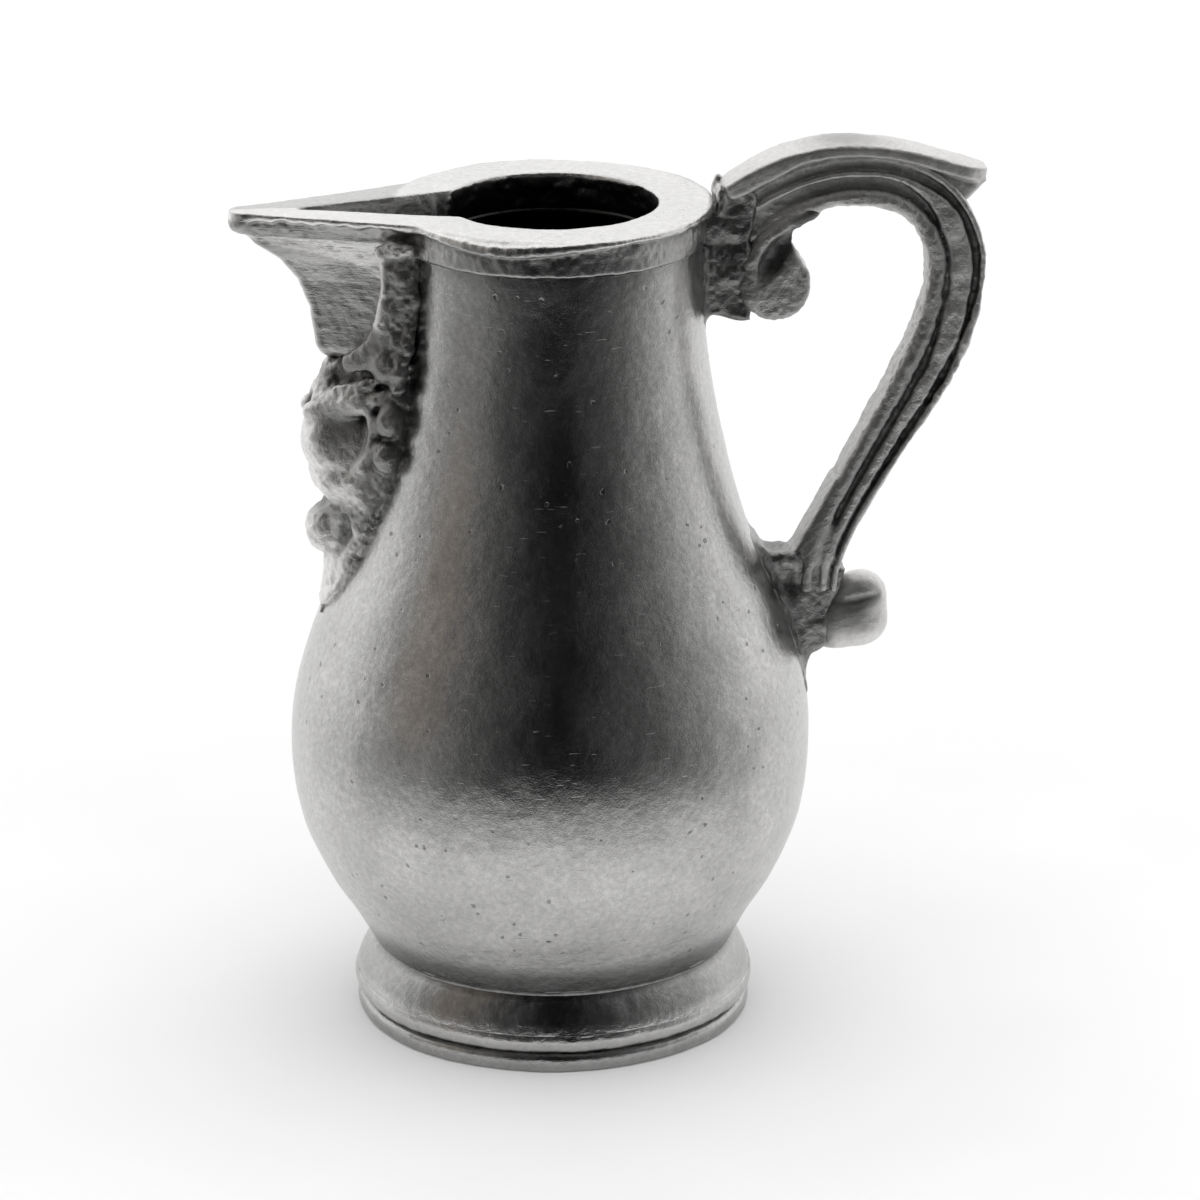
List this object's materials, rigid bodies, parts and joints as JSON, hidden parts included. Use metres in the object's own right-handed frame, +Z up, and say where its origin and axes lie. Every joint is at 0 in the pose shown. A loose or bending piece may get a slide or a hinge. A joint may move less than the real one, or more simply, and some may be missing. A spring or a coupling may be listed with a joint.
{
  "type": "cream jug",
  "caption": "Pear-shaped metal cream jug with a long pointed beak spout, cast drop ornament, moulded scroll handle with thumb leaf, and moulded ring foot.",
  "frame": {"origin": "on the surface the jug stands on, under the middle of its overall length and width; the body's own axis is 6.35 mm toward the spout from it", "axes": "+Z up along the body's axis, -X toward the spout's point, +X toward the handle, Y across the mirror plane"},
  "size_m": [0.0794, 0.0548, 0.0943],
  "materials": {
    "body_metal": "cast pewter or silver, worn smooth, with fine pits, scratches and a soft mottled polish",
    "rim_metal": "flat filed and rubbed bright, satin",
    "spout_metal": "cast metal with coarse, nearly level file marks on both sides",
    "ornament_metal": "rough casting, dark in the hollows and rubbed bright on the high points",
    "handle_metal": "cast metal, dark in the grooves and rubbed bright on the edges",
    "foot_metal": "cast and turned metal, tarnished in the cove, bright on the moulding"
  },
  "bodies": {
    "root": {"body": "body_metal", "rim_collar": "rim_metal", "spout": "spout_metal", "spout_strap_front": "ornament_metal", "spout_strap_back": "ornament_metal", "drop_neck": "ornament_metal", "drop_leaf": "ornament_metal", "drop_shell": "ornament_metal", "drop_lobe_front": "ornament_metal", "drop_lobe_back": "ornament_metal", "drop_bud": "ornament_metal", "handle_boss_upper": "handle_metal", "handle_bar": "handle_metal", "handle_spine": "handle_metal", "thumb_leaf": "handle_metal", "handle_volute_upper": "handle_metal", "handle_bracket_lower": "handle_metal", "handle_volute_lower": "handle_metal", "foot_cove": "foot_metal", "foot_moulding": "foot_metal", "foot_base_wire": "foot_metal"}
  },
  "joints": []
}
